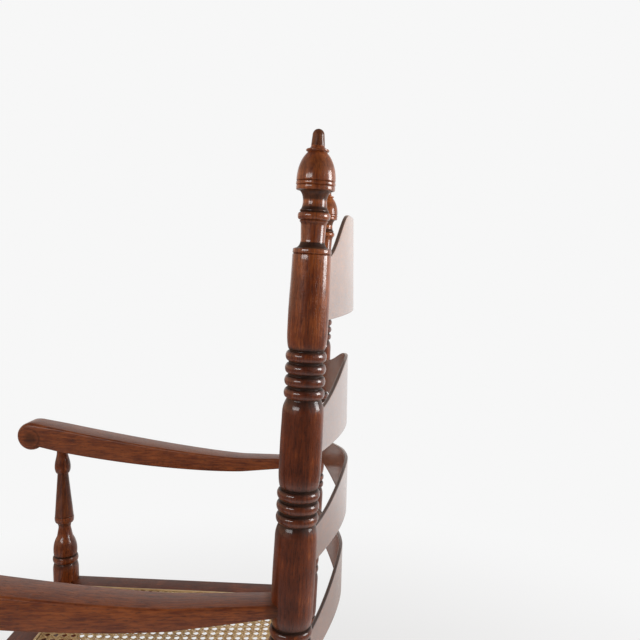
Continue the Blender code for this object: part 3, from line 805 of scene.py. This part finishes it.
arm_start = BLOCK_RADIUS / 2
notch_reach = scroll_corner + SCROLL_RADIUS * math.cos(SCROLL_NOTCH)
scroll_height = arm_top(scroll_corner) - SCROLL_DROP


def arm_point(along, upper):
    """Reach and height of a point of the arm's outline, and the way out there.

    The point lies a share along the arm, on its upper or its lower side. The last shares go round the scroll.
    """
    if along < 1 - SCROLL_SHARE:
        edge = arm_top if upper else arm_bottom
        arm_end = scroll_corner if upper else notch_reach
        reach = arm_start + (arm_end - arm_start) * along / (1 - SCROLL_SHARE)
        rise = edge(reach + EASE) - edge(reach)
        outwards = Vector((-rise, EASE)).normalized()
        return Vector((reach, edge(reach))), outwards if upper else -outwards
    left = (1 - along) / SCROLL_SHARE
    angle = left * (math.pi / 2 if upper else SCROLL_NOTCH)
    outwards = Vector((math.cos(angle), math.sin(angle)))
    return Vector((scroll_corner, scroll_height)) + SCROLL_RADIUS * outwards, outwards


def arm_half_width(reach):
    share = math.sin(math.pi / 2 * min(reach / arm_span, 1.0))
    return (ARM_REAR_WIDTH + (ARM_FRONT_WIDTH - ARM_REAR_WIDTH) * share) / 2


# The sheet wraps round the arm: over its top from side to side, then back under it
arm_row = 2 * ROUND_STEPS + 2
arm_blank = grid("left_arm_shaped", ARM_STATIONS, 2 * arm_row)
for vertex in arm_blank.data.vertices:
    row, step = divmod(round(vertex.co.y * 2 * arm_row) % (2 * arm_row), arm_row)
    point, outwards = arm_point(vertex.co.x, row == 0)
    onto_scroll = min(max((point.x - arm_span) / (scroll_corner - arm_span), 0.0), 1.0)
    rounding = ARM_ROUND + (SCROLL_ROUND - ARM_ROUND) * onto_scroll
    rounding = min(rounding, ARM_ROUND_SHARE * (arm_top(point.x) - arm_bottom(point.x)))
    turned = math.pi / 2 * (1 - min(step, arm_row - 1 - step) / ROUND_STEPS)
    sideways = arm_half_width(point.x) - rounding * (1 - math.sin(turned))
    point -= outwards * rounding * (1 - math.cos(turned))
    vertex.co = (sideways if (step < arm_row / 2) == (row == 0) else -sideways, *point)
bpy.ops.object.mode_set(mode="EDIT")
bpy.ops.mesh.select_all(action="SELECT")
bpy.ops.mesh.remove_doubles(threshold=WELD)
bpy.ops.mesh.select_all(action="DESELECT")
bpy.ops.mesh.select_non_manifold()
bpy.ops.mesh.edge_face_add()
leave_edit_mode()
bpy.ops.object.shade_smooth_by_angle(angle=SMOOTH)
notch = Vector((notch_reach, arm_bottom(notch_reach)))
# Painted shade near the rear post and under the scroll
shades = []
for vertex in arm_blank.data.vertices:
    joint = 1 - (vertex.co.y - LAST_LENGTH_RADIUS) / JOINT_SHADE_REACH
    under_scroll = 1 - (vertex.co.yz - notch).length / NOTCH_SHADE_REACH
    shades.append(ARM_SHADE * min(max(joint, under_scroll, 0.0), 1.0))
mark(arm_blank, "hollow", shades)
arms = {"left": arm_blank, "right": copy_of(arm_blank, "right_arm_shaped")}
for label, side in SIDES.items():
    lean = math.pi + side * splay
    arm_place = Matrix.Translation(arm_root[label]) @ Matrix.Rotation(lean, 4, "Z")
    set_at(arms[label], arm_place)
    grip = arm_place @ Vector((0.0, scroll_corner, scroll_height - GRIP_DROP))
    arm_wood = varnished_wood(
        label + "_arm_wood", 1, (0.0, 0.0, lean), (0.0, 0.0, ARM_GRAIN_STEP * side), pale=0.10,
        clouding=0.35, shine=0.25, wear=0.36, varnish=0.32, haze=0.25, grip=grip,
    )
    fit(arms[label], label + "_arm", arm_wood)


# Seat rails
# Four flat bars between the posts, mitred to each other and tenoned into the blocks of the posts, level on
# top, with rounded arrises. The cane is pressed into a groove near their inner edges.

RAIL_THICKNESS = 0.026
RAIL_OUTER = -0.011
RAIL_INNER = 0.046
RAIL_ROUND = 0.0034
RAIL_GRAIN_STEP = 0.15
RAIL_LABELS = ("front", "left", "rear", "right")
CLEARANCE = 0.0003

rail_bottom = SEAT_HEIGHT - RAIL_THICKNESS
rail_middle = SEAT_HEIGHT - RAIL_THICKNESS / 2
rear_rail_y = rear_foot.y + rail_middle * math.tan(BACK_RAKE)
# Axes of the posts in plan, at the height of the rails, each where one side of the seat starts
axes = [
    front_foot["right"].xy,
    front_foot["left"].xy,
    Vector((rear_half_spacing, rear_rail_y)),
    Vector((-rear_half_spacing, rear_rail_y)),
]


def line_inwards(index, distance):
    """A point and the direction of one side of the seat's plan, moved inwards."""
    start = axes[index]
    along = (axes[(index + 1) % len(axes)] - start).normalized()
    return start + Vector((-along.y, along.x)) * distance, along


def bearing_of(index):
    """The way that one side of the seat's plan runs, as an angle from +X."""
    along = line_inwards(index, 0.0)[1]
    return math.atan2(along.y, along.x)


def corner_at(index, distance):
    """The corner where one side meets the side before it, both moved inwards."""
    point, along = line_inwards(index, distance)
    other, direction = line_inwards(index - 1, distance)
    return point + along * (other - point).cross(direction) / along.cross(direction)


def bar(name, index, outer, inner, low, high):
    """One mitred bar of the seat's frame."""
    piece = grid(name, 1, 1)
    following = (index + 1) % len(axes)
    shift = line_inwards(index, outer)[1] * CLEARANCE / math.sqrt(2)
    for vertex in piece.data.vertices:
        distance = inner if vertex.co.y > 0.5 else outer
        if vertex.co.x > 0.5:
            corner = corner_at(following, distance) - shift
        else:
            corner = corner_at(index, distance) + shift
        vertex.co = (corner.x, corner.y, low)
    bpy.ops.object.mode_set(mode="EDIT")
    bpy.ops.mesh.select_all(action="SELECT")
    bpy.ops.mesh.extrude_region_move(TRANSFORM_OT_translate={"value": (0.0, 0.0, high - low)})
    leave_edit_mode()
    return piece


for index, label in enumerate(RAIL_LABELS):
    rail = bar(label + "_rail_bar", index, RAIL_OUTER, RAIL_INNER, rail_bottom, SEAT_HEIGHT)
    round_over(rail, RAIL_ROUND)
    rail_wood = varnished_wood(
        label + "_rail_wood", 0, (0.0, 0.0, bearing_of(index)), (0.0, 0.0, RAIL_GRAIN_STEP * index),
        wear=0.40, varnish=0.30, haze=0.35,
    )
    fit(rail, label + "_seat_rail", rail_wood)


# Cane
# Woven cane webbing in the six-way pattern: pairs of strands both ways and single diagonals, which leave
# octagonal holes. The strands are split from the skin of rattan: glossy, rounded above and straw coloured.

CELL = 0.0127
PAIR = 0.00145
STRAND_WIDTH = 0.0022
DIAGONAL_WIDTH = 0.0024
STRAND_THICKNESS = 0.0009
WEAVE_RISE = 0.0012
WEAVE_SAG = 0.0025
WEAVE_SMOOTH = math.radians(120)
TRIM = 0.0325
TUCK_WIDTH = 0.0040
TUCK_DEPTH = 0.0030
CANE_TONES = (
    (0.15, (0.400, 0.225, 0.082)),
    (0.55, (0.640, 0.420, 0.185)),
    (0.90, (0.780, 0.580, 0.310)),
)
CANE_TONE_RANGE = (0.32, 0.68)
CANE_STRETCH = 40.0
STRIPE_TONE = 0.55
FIBRE_TONE = 0.25
CLOUD_TONE = 0.20
CANE_ROUGHNESS = 0.34
CANE_TONE_ROUGHNESS = 0.22
CANE_GLOSS = 0.25
CANE_HAZE = 0.25
CANE_RELIEF_STRENGTH = 0.25
CANE_RELIEF_DEPTH = 0.0003


def strand(points, width, material):
    """A strand of the weave through some points: flat below, rounded above."""
    bpy.ops.object.select_all(action="DESELECT")
    bpy.ops.mesh.primitive_circle_add(vertices=3, radius=1.0, fill_type="NOTHING")
    piece = bpy.context.object
    start = points[0]
    along = (points[-1] - start).xy.normalized()
    across = Vector((-along.y, along.x, 0.0))
    up = Vector((0, 0, STRAND_THICKNESS / 2))
    section = [across * width / 2 - up, -across * width / 2 - up, up]
    for vertex, corner in zip(piece.data.vertices, section):
        vertex.co = start + corner
    bpy.ops.object.mode_set(mode="EDIT")
    bpy.ops.mesh.select_all(action="SELECT")
    for here, there in zip(points, points[1:]):
        bpy.ops.mesh.extrude_edges_move(TRANSFORM_OT_translate={"value": there - here})
    leave_edit_mode()
    piece.data.materials.append(material)
    return piece


def cane_skin(name, bearing):
    """The glossy skin of cane whose strands run at some bearing, each of its own tone."""
    material, shader, wire = shader_of(name)
    place = wire.node("TexCoord", {}, {}, "Object")
    sockets = {"Vector": place, "Rotation": (0.0, 0.0, bearing), "Scale": (CANE_STRETCH, 1.0, 1.0)}
    fibres = wire.node("Mapping", {"vector_type": "TEXTURE"}, sockets)
    tone = fibres.noise(scale=260.0, detail=2.0) * STRIPE_TONE
    tone = tone + fibres.noise(scale=1900.0, detail=2.0) * FIBRE_TONE
    tone = tone + place.noise(scale=55.0, detail=3.0) * CLOUD_TONE
    skin = wire.node("ValToRGB", {"stops": CANE_TONES}, {"Fac": tone.between(*CANE_TONE_RANGE)})
    skin.into(shader, "Base Color")
    (CANE_ROUGHNESS + tone * CANE_TONE_ROUGHNESS).into(shader, "Roughness")
    shader.inputs["Coat Weight"].default_value = CANE_GLOSS
    shader.inputs["Coat Roughness"].default_value = CANE_HAZE
    relief = fibres.noise(scale=2600.0, detail=2.0)
    sockets = {"Strength": CANE_RELIEF_STRENGTH, "Distance": CANE_RELIEF_DEPTH, "Height": relief}
    wire.node("Bump", {}, sockets).into(shader, "Normal")
    return material


half_cell = CELL / 2
lift = STRAND_THICKNESS / 2
diagonal = math.pi / 4
bearings = {"lengthwise": 2 * diagonal, "crosswise": 0.0, "rising": diagonal, "falling": -diagonal}
skins = {name: cane_skin(name + "_cane", bearing) for name, bearing in bearings.items()}
strands = []
for beside, sign in ((-PAIR, -1), (PAIR, 1)):
    levels = ((-half_cell, 0.0), (-PAIR, sign * lift), (PAIR, -sign * lift), (half_cell, 0.0))
    lengthwise = [Vector((beside, run, rise)) for run, rise in levels]
    crosswise = [Vector((run, beside, -rise)) for run, rise in levels]
    strands.append(strand(lengthwise, STRAND_WIDTH, skins["lengthwise"]))
    strands.append(strand(crosswise, STRAND_WIDTH, skins["crosswise"]))
# Diagonals meet at the middles of a cell's edges: rising ones go over at front and rear, under at the sides
for flip, name in ((1, "rising"), (-1, "falling")):
    for corner in (1, -1):
        start = Vector((0.0, -corner * half_cell, flip * STRAND_THICKNESS))
        end = Vector((flip * corner * half_cell, 0.0, -flip * STRAND_THICKNESS))
        strands.append(strand([start, (start + end) / 2, end], DIAGONAL_WIDTH, skins[name]))
bpy.ops.object.select_all(action="DESELECT")
for piece in strands:
    piece.select_set(True)
weave = strands[0]
bpy.context.view_layer.objects.active = weave
bpy.ops.object.join()
name_piece(weave, "cane_weave")
front_edge = corner_at(RAIL_LABELS.index("front"), TRIM)
rear_edge = corner_at(RAIL_LABELS.index("right"), TRIM)
columns = 2 * math.ceil(abs(front_edge.x) / CELL) + 1
rows = math.ceil((rear_edge.y - front_edge.y) / CELL) + 1
for count, offset in ((columns, (CELL, 0.0, 0.0)), (rows, (0.0, CELL, 0.0))):
    apply(
        weave, "ARRAY", count=count, use_relative_offset=False, use_constant_offset=True,
        constant_offset_displace=offset, use_merge_vertices=True, merge_threshold=WELD,
    )
first_cell = (-(columns - 1) / 2 * CELL, front_edge.y + half_cell, SEAT_HEIGHT + WEAVE_RISE)
set_at(weave, Matrix.Translation(first_cell))
edges = [line_inwards(index, TRIM) for index in range(len(axes))]
bpy.ops.object.mode_set(mode="EDIT")
for point, along in edges:
    bpy.ops.mesh.select_all(action="SELECT")
    bpy.ops.mesh.bisect(
        plane_co=(*point, 0.0), plane_no=(-along.y, along.x, 0.0), clear_inner=True, threshold=WELD,
    )
    bpy.ops.mesh.select_all(action="SELECT")
    bpy.ops.mesh.fill_holes(sides=0)
bpy.ops.object.mode_set(mode="OBJECT")
# The edge is tucked into the groove, and the middle sags from use
for vertex in weave.data.vertices:
    front, left, rear, right = (along.cross(vertex.co.xy - point) for point, along in edges)
    tuck = max(1 - min(front, left, rear, right) / TUCK_WIDTH, 0.0)
    across = left * right / ((left + right) / 2) ** 2
    deep = front * rear / ((front + rear) / 2) ** 2
    vertex.co.z -= TUCK_DEPTH * tuck**2 + WEAVE_SAG * across * deep
select(weave)
bpy.ops.object.shade_smooth_by_angle(angle=WEAVE_SMOOTH)
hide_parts("cane_panel")
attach(weave, "root")


# Splines
# Four lengths of round-topped reed, glued into the groove of the rails to wedge the cane's edge there, and
# mitred at the corners. Their skin is like the cane's.

SPLINE_OUTER = 0.0306
SPLINE_INNER = 0.0340
SPLINE_DEPTH = 0.0060
SPLINE_PROUD = 0.0026
SPLINE_ROUND = 0.0013

for index, label in enumerate(RAIL_LABELS):
    heights = (SEAT_HEIGHT - SPLINE_DEPTH, SEAT_HEIGHT + SPLINE_PROUD)
    reed = bar(label + "_reed", index, SPLINE_OUTER, SPLINE_INNER, *heights)
    round_over(reed, SPLINE_ROUND)
    reed_skin = cane_skin(label + "_reed_skin", bearing_of(index))
    fit(reed, label + "_cane_spline", reed_skin)


# Stretchers
# Seven turned rungs with round ends in sockets: two at the front with turned middles, two at each side and
# one behind. They are stained and varnished like the posts.

UPPER_STRETCHER_HEIGHT = 0.300
LOWER_STRETCHER_HEIGHT = 0.165
SIDE_STRETCHER_DROP = 0.032
STRETCHER_TENON_RADIUS = 0.0075
STRETCHER_TENON_LENGTH = 0.018
STRETCHER_INSET = 0.006
STRETCHER_END = ("dome", 0.030, 0.0105)
STRETCHER_MIDDLE = 0.0125
TURNED_MIDDLE = [
    ("bead", 0.0110, 0.0115, 0.0150),
    ("hollow", 0.0090, 0.0098),
    ("dome", 0.0300, 0.0175),
]


def stretcher(node, start, end, middle_cuts):
    """A rung between two points of the posts' axes, turned the same way from both ends."""
    length = (end - start).length - 2 * STRETCHER_INSET
    cuts = [("line", STRETCHER_TENON_LENGTH, STRETCHER_TENON_RADIUS), STRETCHER_END]
    plain_length = length / 2 - length_of(cuts) - length_of(middle_cuts)
    cuts.append(("swell", plain_length, middle_cuts[0][2] if middle_cuts else STRETCHER_MIDDLE))
    outline = turn(cuts + middle_cuts, STRETCHER_TENON_RADIUS)
    outline += [Vector((point.x, length - point.y)) for point in reversed(outline[:-1])]
    rung = lathe(node + "_rung", outline)
    towards = (end - start).normalized()
    rung_end = Matrix.Translation(start + towards * STRETCHER_INSET)
    set_at(rung, rung_end @ (-towards).to_track_quat("Z", "Y").to_matrix().to_4x4())
    bearing = math.atan2(towards.y, towards.x)
    wood = varnished_wood(node + "_wood", 0, (0.0, 0.0, bearing), (0.0, 0.0, start.z))
    fit(rung, node, wood)


def on_front_post(label, height):
    return Vector((front_foot[label].x, front_foot[label].y, height))


def on_rear_post(label, height):
    return Vector((SIDES[label] * rear_half_spacing, rear_foot.y + height * math.tan(BACK_RAKE), height))


for name, height in (("upper", UPPER_STRETCHER_HEIGHT), ("lower", LOWER_STRETCHER_HEIGHT)):
    ends = [on_front_post(label, height) for label in SIDES]
    stretcher(name + "_front_stretcher", *ends, TURNED_MIDDLE)
    for label in SIDES:
        side_height = height - SIDE_STRETCHER_DROP
        ends = (on_front_post(label, side_height), on_rear_post(label, side_height))
        stretcher(f"{label}_{name}_stretcher", *ends, [])
ends = [on_rear_post(label, REAR_STRETCHER_HEIGHT) for label in SIDES]
stretcher("rear_stretcher", *ends, [])


# Floor, lights and camera
# A plain pale studio floor, two soft lamps and pale walls round the chair, and a camera at the photograph's
# viewing angle. Floor and walls show white to the camera, and polished wood mirrors part of them.

FLOOR_SIZE = 60.0
FLOOR_COLOUR = (0.80, 0.80, 0.80, 1.0)
FLOOR_ROUGHNESS = 0.9
WHITE = (1.0, 1.0, 1.0, 1.0)
WARM = (1.0, 0.66, 0.46, 1.0)
BACKDROP = 0.93
SHADOW_SHARE = 0.36
SHADOW_FADE = (0.4, 1.8)
# Parts of the floor that polished wood mirrors, by distance along an axis or from the middle
FAR_FLOOR = (-2.2, -0.7)
REAR_FLOOR = (-1.2, 0.2)
NEAR_FLOOR = (-0.5, 0.6)
APRON_INNER = (0.7, 0.9)
APRON_OUTER = (1.2, 1.6)
APRON_SHARE = 0.6
# Name, place, width, height and watts
LAMPS = (
    ("back_lamp", (0.15, 1.70, 1.20), 0.65, 0.68, 22.0),
    ("front_lamp", (1.60, -0.95, 1.47), 1.30, 0.40, 14.5),
)
AIM = Vector((0.0, 0.10, 0.85))
# Walls, by the direction in which they stand, and their levels of light
FAR_WALL = (-0.90, -0.30)
FAR_WALL_TOP = (0.15, 0.75)
FAR_WALL_FRONT = (-0.95, -0.40)
FAR_WALL_LEVEL = 0.95
FAR_HALF = (-0.20, 0.60)
FAR_HALF_LEVEL = 0.12
REAR_WALL = (0.40, 0.90)
REAR_WALL_LEVEL = 0.40
FRONT_WALL = (-0.90, -0.40)
FRONT_WALL_LEVEL = 0.83
ROOM_LEVEL = 0.05
HIGHEST_LEVEL = 1.0
CAMERA_FROM_REAR_FEET = Vector((0.88649, 0.08315, 0.98942))
CAMERA_YAW = math.radians(1.630)
CAMERA_PITCH = math.radians(5.021)
FOCAL_SHARE = 700 / 640
SENSOR = 36.0

bpy.ops.object.select_all(action="DESELECT")
bpy.ops.mesh.primitive_plane_add(size=FLOOR_SIZE)
floor = bpy.context.object
floor.name = "floor"
floor_paint, floor_shader, floor_wire = shader_of("pale_floor")
floor_shader.inputs["Base Color"].default_value = FLOOR_COLOUR
floor_shader.inputs["Roughness"].default_value = FLOOR_ROUGHNESS
spot = floor_wire.node("TexCoord", {}, {}, "Object")
from_middle = floor_wire.node("VectorMath", {"operation": "LENGTH"}, {0: spot}, "Value")
far_floor = (1 - spot.part("X").between(*FAR_FLOOR)) * spot.part("Y").between(*REAR_FLOOR)
apron = from_middle.between(*APRON_INNER) * (1 - from_middle.between(*APRON_OUTER))
apron = apron * spot.part("X").between(*NEAR_FLOOR)
mirrored = floor_wire.node("LightPath", {}, {}, "Is Glossy Ray") * (far_floor + apron * APRON_SHARE)
seen = floor_wire.node("LightPath", {}, {}, "Is Camera Ray") + mirrored
fade = (1 - SHADOW_SHARE + SHADOW_SHARE * from_middle.between(*SHADOW_FADE)) * seen
glow = floor_wire.node("Emission", {}, {"Color": WHITE, "Strength": BACKDROP})
paint = Wire(floor_wire.tree, floor_shader.outputs[0])
surface = floor_wire.node("MixShader", {}, {0: fade, 1: paint, 2: glow})
surface.into(floor_wire.tree.nodes["Material Output"], "Surface")
floor.data.materials.append(floor_paint)

for name, place, width, height, watts in LAMPS:
    lamp = bpy.data.lights.new(name, "AREA")
    lamp.shape = "RECTANGLE"
    lamp.size = width
    lamp.size_y = height
    lamp.energy = watts
    light = bpy.data.objects.new(name, lamp)
    bpy.context.scene.collection.objects.link(light)
    light.location = place
    light.rotation_euler = (AIM - Vector(place)).to_track_quat("-Z", "Y").to_euler()

world = bpy.data.worlds.new("studio")
bpy.context.scene.world = world
world.use_nodes = True
sky = Wire(world.node_tree)
direction = sky.node("TexCoord", {}, {}, "Generated")
camera_ray = sky.node("LightPath", {}, {}, "Is Camera Ray")
east = direction.part("X")
north = direction.part("Y")
far_wall = (1 - east.between(*FAR_WALL)) * (1 - direction.part("Z").between(*FAR_WALL_TOP))
far_wall = far_wall * north.between(*FAR_WALL_FRONT) * FAR_WALL_LEVEL
front_wall = 1 - north.between(*FRONT_WALL)
end_walls = north.between(*REAR_WALL) * REAR_WALL_LEVEL + front_wall * FRONT_WALL_LEVEL
walls = far_wall + (1 - east.between(*FAR_HALF)) * FAR_HALF_LEVEL + end_walls + ROOM_LEVEL
walls = sky.maths("MINIMUM", walls, HIGHEST_LEVEL)
level = walls + camera_ray * (BACKDROP - walls)
colour = (front_wall * (1 - camera_ray)).mixed(WHITE, WARM)
background = world.node_tree.nodes["Background"]
colour.into(background, "Color")
level.into(background, "Strength")

camera = bpy.data.cameras.new("camera")
camera.sensor_width = SENSOR
camera.lens = SENSOR * FOCAL_SHARE
eye = bpy.data.objects.new("camera", camera)
bpy.context.scene.collection.objects.link(eye)
eye.location = CAMERA_FROM_REAR_FEET + Vector((0.0, rear_foot.y, 0.0))
level_heading = Vector((-math.cos(CAMERA_YAW), -math.sin(CAMERA_YAW), 0.0))
sight = level_heading * math.cos(CAMERA_PITCH) - Vector((0.0, 0.0, math.sin(CAMERA_PITCH)))
eye.rotation_euler = sight.to_track_quat("-Z", "Y").to_euler()
bpy.context.scene.camera = eye
bpy.context.scene.view_settings.view_transform = "Standard"
